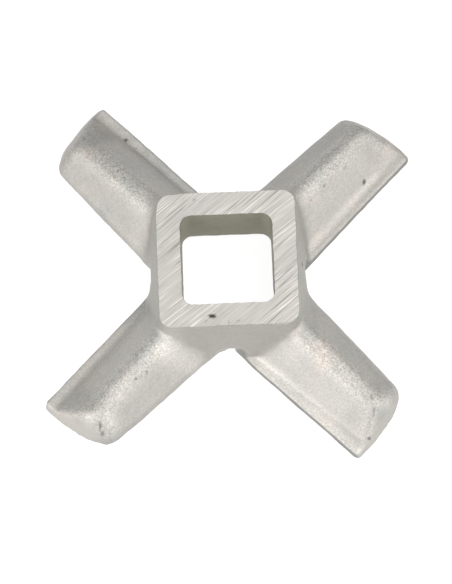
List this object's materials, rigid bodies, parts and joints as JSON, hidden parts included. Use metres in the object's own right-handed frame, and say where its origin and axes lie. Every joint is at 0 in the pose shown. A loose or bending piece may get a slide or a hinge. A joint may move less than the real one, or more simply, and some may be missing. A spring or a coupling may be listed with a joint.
{
  "type": "meat grinder knife",
  "caption": "Cross-shaped rotary knife for a meat grinder, with ridged arms, flat cutting faces and a square drive bore.",
  "frame": {"origin": "on the axis of the square bore, in the plane of the cutting faces", "axes": "+Z along the bore axis, from the cutting faces towards the boss; X and Y square to the boss sides, so the arms lie at 45 degrees to them"},
  "size_m": [0.0406, 0.0406, 0.0094],
  "materials": {
    "cast_stainless": "blasted stainless casting, with the boss face and the cutting faces ground flat"
  },
  "bodies": {
    "root": {"grinder_knife": "cast_stainless"}
  },
  "joints": []
}
